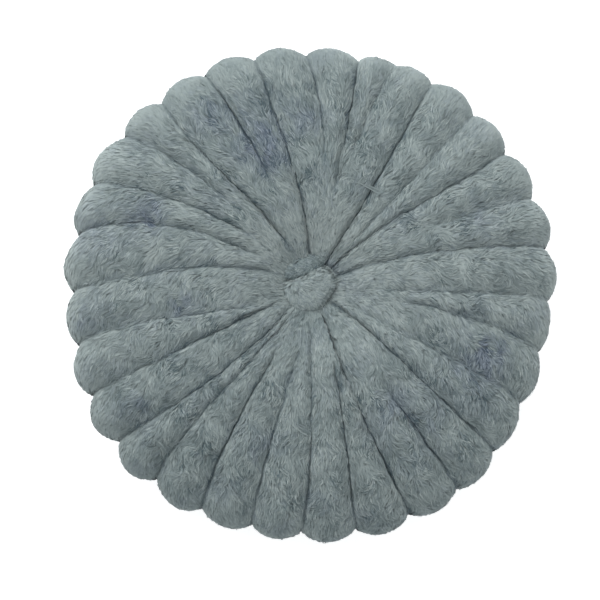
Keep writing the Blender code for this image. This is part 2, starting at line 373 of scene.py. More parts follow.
# %% Backing cloth as a grid
def backing_grid():
    """Points of the cloth, as rings by columns, and how far each lies in a crease, which sets the
    crease's painted shade. The crests' envelope is drawn in, square to the side, by the seams and by
    the pile's depth. The crown leans towards the gather in proportion to its height."""
    top_reach, top_height = side_profile(TOP_RINGS, 1)
    under_reach, under_height = side_profile(UNDER_RINGS, -1)
    reach_share = np.concatenate((top_reach, under_reach[-2::-1]))[:, None]
    height_share = np.concatenate((top_height, under_height[-2::-1]))[:, None]
    upper = np.arange(len(reach_share))[:, None] <= TOP_RINGS

    spread = crest_spread()
    reach = spread * reach_share
    drawn_in, crease_shade = drawn_in_by_seams(reach, spread - SEAM["notch"][nearest_seam], upper)
    side = smooth_step(*SIDE, reach_share)
    pile = PILE_DEPTH + (PILE_DEPTH_SIDE - PILE_DEPTH) * side
    under = PILE_DEPTH_UNDER + (PILE_DEPTH_SIDE - PILE_DEPTH_UNDER) * side
    drawn_in = drawn_in + np.where(upper, pile, under)

    half = HEIGHT / 2 + np.where(upper, 0, SETTLED)
    out = reach_share ** (SQUARENESS - 1) / SPREAD
    up = np.sign(height_share) * np.abs(height_share) ** (SQUARENESS - 1) / half
    length = np.hypot(out, up)
    height = HEIGHT / 2 + half * height_share - drawn_in * up / length
    reach = reach - drawn_in * out / length
    dimple = DIMPLE_DEPTH * np.exp(-((reach / DIMPLE_WIDTH) ** 2))
    seat = SEAT_DEPTH * np.exp(-((reach / SEAT_WIDTH) ** 4))
    height = height - np.where(upper, dimple + seat, 0)

    bearing = column_bearings(reach, upper)
    middle = GATHER * np.maximum(height_share, 0)[..., None]
    x = middle[..., 0] + reach * np.cos(bearing)
    y = middle[..., 1] + reach * np.sin(bearing)
    z = np.maximum(height, PILE_DEPTH_UNDER / 2)
    return np.stack((x, y, z), axis=-1), crease_shade


backing, crease_shade = backing_grid()
RINGS = len(backing)
CAD_MIDDLE = np.array([(low[k] + high[k]) / 2 for k in range(2)])
backing[..., :2] += CAD_MIDDLE - (backing[..., :2].min((0, 1)) + backing[..., :2].max((0, 1))) / 2
extent = (backing.max((0, 1)) - backing.min((0, 1))) / MM
print("backing grid:", backing.shape[:2], "mm:", extent.round(1))


# %% Noise that runs smoothly over the surface
WAVE_LENGTHS, WAVES_RMS = (0.7, 1.4), 0.6


def waves(points, wavelength, seed, count=12):
    """Smooth noise of about -1 to 1 at each point: the mean of sine waves that run in random
    directions through space, with lengths between WAVE_LENGTHS times the one given, and
    WAVES_RMS as its root mean square."""
    random = np.random.default_rng(seed)
    directions = random.normal(size=(count, 3))
    directions /= np.linalg.norm(directions, axis=1, keepdims=True)
    lengths = wavelength * random.uniform(*WAVE_LENGTHS, count)
    phases = random.uniform(0, 2 * np.pi, count)
    total = np.zeros(points.shape[:-1])
    for direction, length, phase in zip(directions, lengths, phases):
        total += np.sin(points @ direction * (2 * np.pi / length) + phase)
    return total / math.sqrt(count / 2) * WAVES_RMS


# %% The cloth's axes and its lumps
def unit(vectors):
    """The vectors at length one."""
    return vectors / np.maximum(np.linalg.norm(vectors, axis=-1, keepdims=True), 1e-12)


def cloth_axes(grid):
    """The step from each point of the cloth to the next ring, to the next column, and outwards."""
    along = np.gradient(grid, axis=0)
    across = (np.roll(grid, -1, axis=1) - np.roll(grid, 1, axis=1)) / 2
    return along, across, unit(np.cross(along, across))


def lumpy(grid):
    """The cloth pushed in and out along its normal by two sizes of noise, but not at the rim."""
    reach = np.hypot(grid[..., 0], grid[..., 1])
    fine, broad = LUMP_SEEDS
    push = LUMP * (waves(grid, LUMP_LENGTH, fine) + 2 * waves(grid, 3 * LUMP_LENGTH, broad))
    push = push * (1 - smooth_step(*LUMPS_END, reach / SPREAD)) * (grid[..., 2] > RIM_HEIGHT)
    return grid + cloth_axes(grid)[2] * push[..., None]


# %% Grid to mesh
def closed_rings(points):
    """The vertices and faces of rings that close on themselves, with a point at either end:
    quads between neighbouring rings and a fan of triangles at each pole, facing outwards."""
    rings, columns = points.shape[:2]
    inner = points[1:-1].reshape(-1, 3)
    poles = np.stack((points[0].mean(0), points[-1].mean(0)))
    index = np.arange(len(inner)).reshape(rings - 2, columns)
    after = np.roll(index, -1, axis=1)
    quads = np.stack((index[:-1], index[1:], after[1:], after[:-1]), -1).reshape(-1, 4)
    first, last = len(inner), len(inner) + 1
    top = np.stack((np.full(columns, first), index[0], after[0]), -1)
    bottom = np.stack((np.full(columns, last), after[-1], index[-1]), -1)
    return np.concatenate((inner, poles)), quads, np.concatenate((top, bottom))


def mesh_from(name, vertices, quads, triangles):
    """A mesh from whole arrays of points, four-sided faces and three-sided faces."""
    corners = np.concatenate((quads.ravel(), triangles.ravel())).astype(np.int32)
    starts = np.concatenate(
        (np.arange(len(quads)) * 4, len(quads) * 4 + np.arange(len(triangles)) * 3)
    )
    mesh = bpy.data.meshes.new(name)
    mesh.vertices.add(len(vertices))
    mesh.vertices.foreach_set("co", np.ascontiguousarray(vertices, np.float32).ravel())
    mesh.loops.add(len(corners))
    mesh.loops.foreach_set("vertex_index", corners)
    mesh.polygons.add(len(starts))
    mesh.polygons.foreach_set("loop_start", starts.astype(np.int32))
    mesh.update(calc_edges=True)
    mesh.shade_smooth()
    return mesh


def piece_from(name, mesh, material):
    """An object at the origin with its place in its mesh."""
    mesh.materials.append(material)
    piece = bpy.data.objects.new(name, mesh)
    scene.collection.objects.link(piece)
    return piece


def read_points(mesh):
    """A mesh's vertices as one array."""
    flat = np.empty(len(mesh.vertices) * 3, np.float32)
    mesh.vertices.foreach_get("co", flat)
    return flat.reshape(-1, 3).astype(float)


# %% [markdown]
# The backing material. Between the tufts one looks down to their roots and to the knitted backing
# they are looped through. Both lie in the pile's own shade, so the cloth is a darker grey-green,
# with a fine mottling at the size of the loops. In the creases of the seams it is painted darker
# still, as painted shade.

# %% Knitted backing
LOOP_PITCH = 1.4 * MM  # real loops are about 1 mm; drawn a little coarser so that they show
LOOP_HEIGHT = 0.4 * MM
MOTTLING = 18 * MM
MIX_FACTOR, MIX_FIRST, MIX_SECOND, MIX_RESULT = 0, 6, 7, 2  # a Mix node's sockets for colours


def knitted_backing(name):
    """Polyester knit under the pile: matt, no gloss, with loops that raise a slight bump, and
    painted shade in the seams' creases.
    """
    material, tree, shader = new_material(name)
    place = add_node(tree, "ShaderNodeTexCoord").outputs["Object"]
    loops = add_node(
        tree, "ShaderNodeTexVoronoi", {"Scale": 1 / LOOP_PITCH, "Randomness": 0.8}, Vector=place
    )
    clouds = add_node(tree, "ShaderNodeTexNoise", {"Scale": 1 / MOTTLING, "Detail": 3.0}, Vector=place)
    ramp = add_node(tree, "ShaderNodeValToRGB", Fac=clouds.outputs["Fac"])
    for element, (position, colour) in zip(
        ramp.color_ramp.elements, ((0.35, "#7A8688"), (0.68, "#8B9799"))
    ):
        element.position = position
        element.color = linear(colour)
    raised = {"Strength": 0.5, "Distance": LOOP_HEIGHT}
    bump = add_node(tree, "ShaderNodeBump", raised, Height=loops.outputs["Distance"])
    # Towards the seams the knit is mixed into a dark grey-green: painted shade in the creases.
    crease = add_node(tree, "ShaderNodeAttribute", {"attribute_name": "crease_shade"})
    knit = add_node(tree, "ShaderNodeMix", {"data_type": "RGBA"})
    tree.links.new(crease.outputs["Fac"], knit.inputs[MIX_FACTOR])
    tree.links.new(ramp.outputs["Color"], knit.inputs[MIX_FIRST])
    knit.inputs[MIX_SECOND].default_value = linear("#3B4648")
    tree.links.new(knit.outputs[MIX_RESULT], shader.inputs["Base Color"])
    tree.links.new(bump.outputs["Normal"], shader.inputs["Normal"])
    shader.inputs["Roughness"].default_value = 0.95
    shader.inputs["Specular IOR Level"].default_value = 0.2
    shader.inputs["Sheen Weight"].default_value = 0.2
    return material


backing_knit = knitted_backing("polyester knit backing")

# %% [markdown]
# Filling the cover. The grid is only the cut of the cloth; air pressure from inside gives it the
# unevenness of a stuffed thing. The seams, the gather and the flat underside are pinned, the rest
# is blown up for a few frames, and no point may move further than the cap. The result is read
# back into the grid, so the pile can be grown on it.

# %% Inflate
PRESSURE = 4.0
LAST_FRAME = 14
CAP = 3.5 * MM
PINNED_WITHIN = 55 * MM
PINNED_BELOW = 1.5 * MM
CLOTH_QUALITY, STRETCH_STIFFNESS, BENDING_STIFFNESS = 5, 12, 0.4


def inflated(grid, knit):
    """The grid after a short cloth simulation, with each point's travel capped."""
    vertices, quads, triangles = closed_rings(grid)
    mesh = mesh_from("trial cover", vertices, quads, triangles)
    trial = piece_from("trial_cover", mesh, knit)
    reach = np.hypot(vertices[:, 0], vertices[:, 1])
    on_seam = np.zeros(len(vertices), bool)
    on_seam[:-2] = np.arange(len(vertices) - 2) % COLUMNS % COLUMNS_PER_LOBE == 0
    held = on_seam | (reach < PINNED_WITHIN) | (vertices[:, 2] < PINNED_BELOW)
    group = trial.vertex_groups.new(name="held")
    group.add(np.flatnonzero(held).tolist(), 1.0, "REPLACE")
    cloth = trial.modifiers.new("inflate", "CLOTH")
    cloth.settings.vertex_group_mass = group.name
    cloth.settings.use_pressure = True
    cloth.settings.uniform_pressure_force = PRESSURE
    cloth.settings.effector_weights.gravity = 0.0
    cloth.settings.quality = CLOTH_QUALITY
    cloth.settings.tension_stiffness = STRETCH_STIFFNESS
    cloth.settings.compression_stiffness = STRETCH_STIFFNESS
    cloth.settings.bending_stiffness = BENDING_STIFFNESS
    cloth.point_cache.frame_start = 1
    cloth.point_cache.frame_end = LAST_FRAME
    for step in range(1, LAST_FRAME + 1):
        scene.frame_set(step)
    evaluated = trial.evaluated_get(bpy.context.evaluated_depsgraph_get())
    moved = read_points(evaluated.data) - vertices
    scene.frame_set(1)
    bpy.data.objects.remove(trial, do_unlink=True)
    far = np.linalg.norm(moved, axis=1, keepdims=True)
    moved *= np.minimum(1.0, CAP / np.maximum(far, 1e-9))
    print("inflated: mean and most travel, mm:", np.round((far.mean() / MM, far.max() / MM), 2))
    result = grid.copy()
    result[1:-1] += moved[:-2].reshape(len(grid) - 2, COLUMNS, 3)
    result[..., 2] = np.maximum(result[..., 2], PILE_DEPTH_UNDER / 2)
    return result


backing = inflated(backing, backing_knit)

backing = lumpy(backing)
cover = piece_from("cushion_cover", mesh_from("cushion_cover", *closed_rings(backing)), backing_knit)
crease_shade_values = np.concatenate((crease_shade[1:-1].ravel(), (0, 0))).astype(np.float32)
cover.data.attributes.new("crease_shade", "FLOAT", "POINT").data.foreach_set("value", crease_shade_values)
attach(cover, "root")
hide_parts("cushion")
print("cover faces:", len(cover.data.polygons))

# %% [markdown]
# The pile. Plush is a pile fabric: bundles of fine fibre stand in a knitted backing, and handling
# lays them over in swirls. At this picture's scale one fibre is far too fine, but a lock of some
# dozens shows as a soft stroke about 1 mm wide and 8 mm long. Particle hair would need its own
# shader and can't be exported as a mesh, and bump alone has no outline. So each tuft is a sheaf
# of narrow blades, and each blade is a long kite, folded across where it is widest. All of them
# are worked out as arrays and joined.

# %% The filled cloth's axes
along_step, across_step, outward = cloth_axes(backing)
cell_area = np.linalg.norm(np.cross(along_step, across_step), axis=-1)


def softened(vectors, times):
    """The directions averaged with their neighbours, so that tufts don't jump across a crease."""
    for _ in range(times):
        around = np.roll(vectors, 1, 1) + np.roll(vectors, -1, 1) + 2 * vectors
        padded = np.concatenate((around[:1], around, around[-1:]))
        vectors = unit(padded[:-2] + padded[2:] + 2 * padded[1:-1])
    return vectors


outward = softened(outward, 1)
LAST_RING = RINGS - 1.001  # just short of the last, so that there is a ring beyond each point
print("cloth area, square mm:", round(cell_area.sum() / MM**2))


def on_cloth(field, ring, column):
    """A field of the grid at fractions of rings and columns, blended between the four nearest."""
    ring = np.clip(ring, 0, LAST_RING)
    r, c = np.floor(ring).astype(int), np.floor(column).astype(int)
    s, t = (ring - r)[..., None], (column - c)[..., None]
    c0, c1 = c % COLUMNS, (c + 1) % COLUMNS
    here = field[r, c0] * (1 - t) + field[r, c1] * t
    beyond = field[r + 1, c0] * (1 - t) + field[r + 1, c1] * t
    return here * (1 - s) + beyond * s


# %% [markdown]
# How the pile is laid. The lean is the angle between a tuft and its channel: on the left the pile
# has been stroked up and across, on the lower right it lies well across the channels, and at the
# top and bottom it follows them. Pile that is laid towards the light looks paler than pile laid
# away from it, so each row also has how much paler the crown and the rim are painted there, which
# is painted light and shade. The last column is how flat the rim's pile is stroked: smooth at the
# top and left, and fluffy at the lower right. Here and there the pile is rubbed up.

# %% Lay of the pile
Lay = namedtuple("Lay", "bearing lean crown rim stroked")
LAYS = (
    Lay(0, -30, 0.06, 0.36, 0.6),
    Lay(20, 4, 0.06, 0.18, 0.75),
    Lay(45, 5, 0.0, 0.13, 0.9),
    Lay(75, -3, -0.12, 0.06, 1.0),
    Lay(95, 4, -0.18, -0.04, 1.0),
    Lay(125, 6, -0.1, 0.0, 1.0),
    Lay(150, 34, 0.02, 0.34, 1.0),
    Lay(170, 54, 0.02, 0.36, 1.0),
    Lay(190, 44, -0.02, 0.26, 1.0),
    Lay(210, 30, -0.16, 0.06, 0.9),
    Lay(235, 14, -0.12, -0.16, 0.7),
    Lay(265, 4, -0.04, -0.12, 0.5),
    Lay(290, -6, -0.08, -0.1, 0.4),
    Lay(315, -14, -0.12, -0.06, 0.3),
    Lay(340, -50, -0.08, 0.1, 0.4),
)
TUFT_LENGTH = 11.0 * MM
RIM_TUFT_LENGTH = 8.0 * MM
BLADE_WIDTH = 1.1 * MM


def laid(column, bearing):
    """A column of the table at a bearing in degrees, in a straight line from row to row."""
    known = [row.bearing for row in LAYS] + [360]
    values = [getattr(row, column) for row in LAYS]
    return np.interp(bearing, known, values + values[:1])


print("lay of the pile at", len(LAYS), "bearings")


# %% [markdown]
# Colour of the pile. It is dyed in the piece, a grey-green. Where the pile parts the grey is
# painted bluish and darker, as painted shade, at a dozen places on this one. The rows give the
# middle and size of those places.

# %% Bluish places
Patch = namedtuple("Patch", "x y radius strength")  # mm from the cushion's middle
PATCHES = (
    Patch(-87, 156, 17, 0.8),
    Patch(-46, 140, 22, 0.9),
    Patch(-36, 118, 15, 0.8),
    Patch(-2, 152, 16, 0.7),
    Patch(-137, 74, 12, 0.8),
    Patch(-143, 72, 16, 0.6),
    Patch(-110, -6, 14, 0.8),
    Patch(-151, -96, 12, 0.5),
    Patch(-46, -132, 14, 0.5),
    Patch(146, 69, 14, 0.5),
    Patch(155, -50, 16, 0.9),
    Patch(150, -60, 24, 0.7),
    Patch(73, -98, 20, 0.6),
    Patch(105, -110, 16, 0.5),
    Patch(14, 22, 12, 0.5),
    Patch(-190, 62, 18, 0.6),
    Patch(-200, -20, 12, 0.6),
)


Noise = namedtuple("Noise", "mean height wavelength seed")
FAINT_BLUE = Noise(0.02, 0.10, 38 * MM, 31)
BROKEN_BLUE = Noise(0.7, 0.45, 11 * MM, 32)


def noise(points, kind):
    """Smooth noise about a mean, of the height, wavelength and seed of its kind."""
    return kind.mean + kind.height * waves(points, kind.wavelength, kind.seed)


def bluish(points):
    """How bluish the pile is painted, as painted shade: the sum of a soft bell for each place,
    broken up by noise.
    """
    total = np.zeros(len(points))
    for patch in PATCHES:
        far = np.hypot(points[:, 0] - patch.x * MM, points[:, 1] - patch.y * MM)
        total += patch.strength * np.exp(-((far / (patch.radius * MM)) ** 2))
    return np.clip(total * noise(points, BROKEN_BLUE) + noise(points, FAINT_BLUE), 0, 1)


# %% Pile material
TONES, COOLS = 40, 6  # steps of the chart of dye and painted shade that each blade is matched to
DEEPEST = 0.35  # how far the chart goes on below the dark end of the even tones
# Painted shade: a blade's root is painted darker than its tip, for the shade deep in the pile.
ROOT_SHADE = 0.86  # how bright a blade's root is beside its tip


def plush_pile(name):
    """Brushed polyester pile: fibres matt and fuzzy, painted darker at the root as painted shade, with
    a soft sheen where they are seen edge on. along runs from root to tip, tone from dark to pale
    tufts, and cool is how bluish a tuft is."""
    material, tree, shader = new_material(name)
    along, tone, cool = (
        add_node(tree, "ShaderNodeAttribute", {"attribute_name": label}).outputs["Fac"]
        for label in ("along", "tone", "cool")
    )
    green = add_node(tree, "ShaderNodeValToRGB", Fac=tone)
    blue = add_node(tree, "ShaderNodeValToRGB", Fac=tone)
    for ramp, dark, pale in ((green, "#536468", "#A8B4B3"), (blue, "#4F5D6B", "#A2AEB9")):
        ramp.color_ramp.elements[0].color = linear(dark)
        ramp.color_ramp.elements[1].color = linear(pale)
    dyed = add_node(tree, "ShaderNodeMix", {"data_type": "RGBA"})
    tree.links.new(cool, dyed.inputs[MIX_FACTOR])
    tree.links.new(green.outputs["Color"], dyed.inputs[MIX_FIRST])
    tree.links.new(blue.outputs["Color"], dyed.inputs[MIX_SECOND])
    shade = add_node(tree, "ShaderNodeMapRange", {"To Min": ROOT_SHADE, "To Max": 1.0}, Value=along)
    shaded = add_node(tree, "ShaderNodeMix", {"data_type": "RGBA", "blend_type": "MULTIPLY"})
    shaded.inputs[MIX_FACTOR].default_value = 1.0
    tree.links.new(dyed.outputs[MIX_RESULT], shaded.inputs[MIX_FIRST])
    tree.links.new(shade.outputs["Result"], shaded.inputs[MIX_SECOND])
    tree.links.new(shaded.outputs[MIX_RESULT], shader.inputs["Base Color"])
    shader.inputs["Roughness"].default_value = 0.9
    shader.inputs["Specular IOR Level"].default_value = 0.15
    shader.inputs["Sheen Weight"].default_value = 0.12
    shader.inputs["Sheen Roughness"].default_value = 0.6
    return material


pile_plush = plush_pile("brushed polyester plush")


# %% Blades to one mesh
SOFT_SHADE = 0.85  # how far a blade's shading turns from its own face to the cloth's
KITE_ALONG = (0.0, 0.5, 0.5, 1.0)  # root, either side, tip
KITE_ACROSS = (0.5, 0.2, 0.8, 0.5)
CELL_MARGIN = 0.05


def blades_mesh(name, root, middle, tip, side, facing, tone, cool):
    """One mesh of all blades. A blade is a long kite, folded across where it is widest: from its
    root to its two sides, and from those to its tip. side is half the width, as a vector. Its
    own map puts it in its cell of the chart of dye and painted shade: tone across and cool, with
    along, upwards."""
    count = len(root)
    points = np.stack((root, middle - side, middle + side, tip), 1)
    base = np.arange(count)[:, None] * 4
    halves = np.concatenate((base + (0, 2, 1), base + (1, 2, 3)), 1).reshape(-1, 3)
    mesh = mesh_from(name, points.reshape(-1, 3), np.empty((0, 4), int), halves)
    own = unit(np.cross(side, tip - root))
    shading = unit(own * (1 - SOFT_SHADE) + facing * SOFT_SHADE)
    mesh.normals_split_custom_set_from_vertices(np.repeat(shading, 4, axis=0).astype(np.float32))
    tone = np.round(np.clip((tone + DEEPEST) / (1 + DEEPEST), 0, 1) * (TONES - 1))
    cool = np.round(np.clip(cool, 0, 1) * (COOLS - 1))
    along = np.tile(KITE_ALONG, count)
    for label, values in (
        ("along", along),
        ("tone", np.repeat(tone / (TONES - 1), 4)),
        ("cool", np.repeat(cool / (COOLS - 1), 4)),
    ):
        attribute = mesh.attributes.new(label, "FLOAT", "POINT")
        attribute.data.foreach_set("value", values.astype(np.float32))
    u = (np.repeat(tone, 4) + np.tile(KITE_ACROSS, count)) / TONES
    v = (np.repeat(cool, 4) + CELL_MARGIN + (1 - 2 * CELL_MARGIN) * along) / COOLS
    corner = np.empty(len(mesh.loops), np.int32)
    mesh.loops.foreach_get("vertex_index", corner)
    chart = mesh.uv_layers.new(name="OFBake")
    chart.data.foreach_set("uv", np.stack((u, v), -1)[corner].astype(np.float32).ravel())
    return mesh


# %% Where the tufts stand
TUFTS = 48000
BLADES_PER_TUFT = 9
PILE_PIECES = 5
UNDER_THINS, THINNED = (3, 14), 0.8  # rings past the rim, and the share of tufts left out there
KNOT_COVERS = (8 * MM, 20 * MM)


def past_rim(ring, start, end):
    """0 to 1 between two rings counted from the rim, where those on top are negative."""
    return smooth_step(TOP_RINGS + start, TOP_RINGS + end, ring)


def spread_tufts(count, random):
    """Tufts' rings and columns, as many on each part of the cloth as its area and its weight ask
    for: full on the crown and the side, few underneath, none beneath the knot."""
    reach = np.hypot(backing[..., 0] - GATHER[0], backing[..., 1] - GATHER[1])
    ring = np.arange(RINGS)[:, None] * np.ones((1, COLUMNS))
    under = past_rim(ring, *UNDER_THINS)
    weight = cell_area * (1 - THINNED * under) * smooth_step(*KNOT_COVERS, reach)
    total = np.cumsum(weight.ravel())
    even = (np.arange(count) + random.uniform(0, 1, count)) / count * total[-1]
    cell = np.searchsorted(total, even)
    return (
        cell // COLUMNS + random.uniform(-0.5, 0.5, count),
        cell % COLUMNS + random.uniform(-0.5, 0.5, count),
    )


# %% How the tufts lie
SWIRL_DEGREES, SWIRL = 30, Noise(0, 1, 26 * MM, 11)
CURL_DEGREES, CURL = 34, Noise(0, 1, 17 * MM, 12)
RUBBED, RUBBED_ABOVE, RUBBED_FROM = Noise(0, 1, 27 * MM, 13), (0.0, 1.1), (40 * MM, 95 * MM)
RUBBED_BLUE = 0.9  # how rubbed up the pile is where it is wholly bluish
RIM_FROM, RIM_RINGS = (188 * MM, 222 * MM), (-14, -4)
RIM_CALM = 0.8  # the share of swirl and unevenness that stroked pile at the rim goes without
CALM_INSIDE, CALM_UNTIL = 0.35, (45 * MM, 120 * MM)
LEAN_GROWS, LEAN_LOST_AT_SEAM = (20 * MM, 110 * MM), 0.6
TUFT_STRAYS = 8  # degrees
LENGTH_VARIES = (0.85, 1.15)
UNDER_SHORTENS, UNDER_SHORTER, RUBBED_SHORTER = (2, 10), 0.35, 0.3
LENGTH_GROWS, SHORT_INSIDE = (30 * MM, 130 * MM), 0.75

Lie = namedtuple("Lie", "ring column reach rim lean curl rubbed length")


def lie_of_tufts(ring, column, place, bearing, stroked, cool, random):
    """How tufts lie: their lean from the channel's line, and the curl that is added half way up,
    both in degrees, how far they are rubbed up, and their length in metres. stroked is how smooth
    the rim has been stroked at each."""
    reach = np.hypot(place[:, 0], place[:, 1])
    off_crest = np.abs(2 * (column / COLUMNS_PER_LOBE % 1) - 1)
    calm = CALM_INSIDE + (1 - CALM_INSIDE) * smooth_step(*CALM_UNTIL, reach)
    calm = (1 - RIM_CALM * stroked) * calm
    lean = laid("lean", bearing) * (1 - LEAN_LOST_AT_SEAM * off_crest**3)
    lean = lean * smooth_step(*LEAN_GROWS, reach) + calm * SWIRL_DEGREES * noise(place, SWIRL)
    lean = lean + calm * random.normal(0, TUFT_STRAYS, TUFTS)
    curl = calm * CURL_DEGREES * noise(place, CURL) + calm * random.normal(0, TUFT_STRAYS, TUFTS)
    rubbed = smooth_step(*RUBBED_ABOVE, noise(place, RUBBED)) * smooth_step(*RUBBED_FROM, reach)
    rubbed = np.maximum(rubbed, RUBBED_BLUE * cool) * (1 - stroked)
    length = TUFT_LENGTH + (RIM_TUFT_LENGTH - TUFT_LENGTH) * stroked
    length = length * (1 - UNDER_SHORTER * past_rim(ring, *UNDER_SHORTENS))
    length = length * (1 - RUBBED_SHORTER * rubbed) * random.uniform(*LENGTH_VARIES, TUFTS)
    length = length * (SHORT_INSIDE + (1 - SHORT_INSIDE) * smooth_step(*LENGTH_GROWS, reach))
    return Lie(ring, column, reach, stroked, lean, curl, rubbed, length)


# %% Tone of the tufts
BROAD_TONE, FINE_TONE = Noise(0.5, 0.1, 42 * MM, 21), Noise(0, 0.13, 15 * MM, 22)
TUFT_TONE, TUFT_COOL = 0.1, 0.07  # how far tone and coolness vary from tuft to tuft
OUTER = (60 * MM, 110 * MM)
# Painted shade: pile on slopes facing down the picture, away from the light, is painted darker.
AWAY_FROM_LIGHT = 0.3  # how much darker pile is on a slope that faces down the picture
# Painted light near the gather, against the dimple's shade: paler, most towards the top.
CENTRE_TONE, CENTRE_UPWARD, CENTRE_RIGHTWARD = 0.08, 0.17, 0.03
# Bluish places are painted darker too, as painted shade, and rubbed pile is darker.
BLUE_DARKENS, RUBBED_DARKENS = 0.28, 0.12
EVEN_LIFT = 0.03  # what those two take from the mean tone


def tone_of_tufts(lie, place, bearing, rim, cool, random):
    """Each tuft's tone: noise, the painted light and shade of the lay on the crown and at the rim,
    painted shade on slopes that face down the picture, and near the gather a plain slant across
    it, which is painted light."""
    outer = smooth_step(*OUTER, lie.reach)
    tone = noise(place, BROAD_TONE) + noise(place, FINE_TONE)
    tone = tone + laid("crown", bearing) * outer * (1 - rim) + laid("rim", bearing) * rim
    tone = tone + (1 - RIM_CALM * lie.rim) * random.normal(0, TUFT_TONE, TUFTS)
    slope = np.minimum(on_cloth(outward, lie.ring, lie.column)[:, 1], 0)
    tone = tone + AWAY_FROM_LIGHT * outer * slope
    turn = np.radians(bearing)
    slant = CENTRE_TONE + CENTRE_UPWARD * np.sin(turn) + CENTRE_RIGHTWARD * np.cos(turn)
    tone = tone + (1 - outer) * slant
    return tone - BLUE_DARKENS * cool + EVEN_LIFT - RUBBED_DARKENS * lie.rubbed


# %% Blades kept out of the seams
SEAM_CLEAR = 1.0 * MM
BRIDGE = 4.0 * MM  # how far blades may lie across a seam that isn't pulled at all
CROSSING = (-0.7, 1.5)  # some blades lean over a seam, others stop short of it
RIM_SEWN, RIM_CLOSES = (0.8, 0.95), 0.65
FREE_BELOW = 0.25  # a seam less sewn than this doesn't part the pile
SEAM_LOWERS, LOWERED_WITHIN = 0.65, 5.5 * MM

Roots = namedtuple("Roots", "ring column along across long wide rim crossing bridging")
Spot = namedtuple("Spot", "ring column from_seam sewn")


def settled(roots, along, across, spread_left):
    """Where blades come to after a move along and across the channel, in metres, which a cell's
    own length and width turn into rings and columns. They are kept out of a sewn seam's crease."""
    ring = np.clip(roots.ring + (along + roots.along * spread_left) / roots.long, 1, RINGS - 2)
    column = roots.column + (across + roots.across * spread_left) / roots.wide
    lobe = np.floor(roots.column / COLUMNS_PER_LOBE)
    inside = column / COLUMNS_PER_LOBE - lobe
    seam = (lobe + (inside > 0.5)).astype(int) % LOBES
    spot = on_cloth(backing, ring, column)
    reach = np.hypot(spot[:, 0], spot[:, 1])
    sewn = np.maximum(seam_strength(seam, reach), smooth_step(*RIM_SEWN, reach / SPREAD))
    pull = seam_pull(seam, reach)
    clear = SEAM_CLEAR * crease_width(reach) / CREASE_WIDTH * pull
    clear = clear * (1 - RIM_CLOSES * roots.rim) * roots.crossing
    clear = clear - BRIDGE * (1 - pull) ** 2 * roots.bridging
    margin = clear / (roots.wide * COLUMNS_PER_LOBE) * sewn
    inside = np.where(sewn < FREE_BELOW, inside, np.clip(inside, margin, 1 - margin))
    from_seam = np.maximum(np.minimum(inside, 1 - inside), 0) * roots.wide * COLUMNS_PER_LOBE
    return Spot(ring, (lobe + inside) * COLUMNS_PER_LOBE, from_seam, sewn * pull)


def lifted(spot, rise):
    """Points of the cloth raised along its normal, less so close to a seam."""
    near = 1 - spot.sewn * SEAM_LOWERS * (1 - smooth_step(0, LOWERED_WITHIN, spot.from_seam))
    foot = on_cloth(backing, spot.ring, spot.column)
    return foot + on_cloth(outward, spot.ring, spot.column) * (rise * near)[:, None]


def blade_sides(sideways, normal, run, roll, width):
    """Half of each blade's width as a vector: rolled about its run by roll in degrees, and turned
    so that the blade's face is outwards."""
    roll = np.radians(roll)[:, None]
    side = sideways * np.cos(roll) + normal * np.sin(roll)
    outwards = np.einsum("ij,ij->i", np.cross(side, run), normal) > 0
    return np.where(outwards[:, None], side, -side) * width[:, None]


def per_blade(values):
    """Each tuft's value once for each of its blades."""
    return np.repeat(values, BLADES_PER_TUFT, axis=0)


# %% Course and shade of the blades
PILE_SEED = 29
TUFT_SPREAD, RIM_SPREADS = 2.1 * MM, 0.8  # how far from its tuft's middle a blade is rooted
TIP_SPREAD = 0.85  # how much of that spread is left at the tips
NARROWEST_CELL = 0.25 * MM
BLADE_STRAYS, BLADE_LENGTHS, BLADE_WIDTHS, BLADE_ROLL = 5, (0.8, 1.1), (0.75, 1.25), 9
STEEP, STEEP_VARIES, EASED = 14, 6, 3  # degrees off the cloth, on the lower and the upper half
RUBBED_RAISES, RIM_FLATTENS = 7, 5
FLOOR_CLEAR = 0.4 * MM
RIM_WIDENS = 0.5
# Painted shade at the seams: blades whose tips lie in a seam are painted darker and cooler.
DARK_WITHIN, BUNCHED_WITHIN = 2.8, 0.8  # mm from a seam, and how many more near the gather
SEAM_DARKENS, BUNCHED_DARKENS, SEAM_COOLS, RIM_HIDES_SEAM = 0.62, 0.5, 0.3, 0.5
SPECKLE, RUBBED_SPECKLE, RIM_EVENS = 0.14, 0.24, 0.85


def course_of_blades(lie, random):
    """How far blades run along and across their channel, and how far they rise, in metres, to
    their middles and to their tips: half the length at the lean and as steep as it stands, and
    half at the lean and the curl, where it eases down to the cloth."""
    count = len(lie.lean)
    lean = np.radians(lie.lean + random.normal(0, BLADE_STRAYS, count))
    bend = lean + np.radians(lie.curl)
    half = lie.length * random.uniform(*BLADE_LENGTHS, count) / 2
    steep = STEEP + RUBBED_RAISES * lie.rubbed - RIM_FLATTENS * lie.rim
    steep = np.radians(steep + random.normal(0, STEEP_VARIES, count))
    ease = np.radians(EASED + RUBBED_RAISES * lie.rubbed - EASED * lie.rim)
    along = half * np.cos(steep) * np.cos(lean)
    across = half * np.cos(steep) * np.sin(lean)
    rise = half * np.sin(steep)
    along_tip = along + half * np.cos(ease) * np.cos(bend)
    across_tip = across + half * np.cos(ease) * np.sin(bend)
    return (along, across, rise), (along_tip, across_tip, rise + half * np.sin(ease))


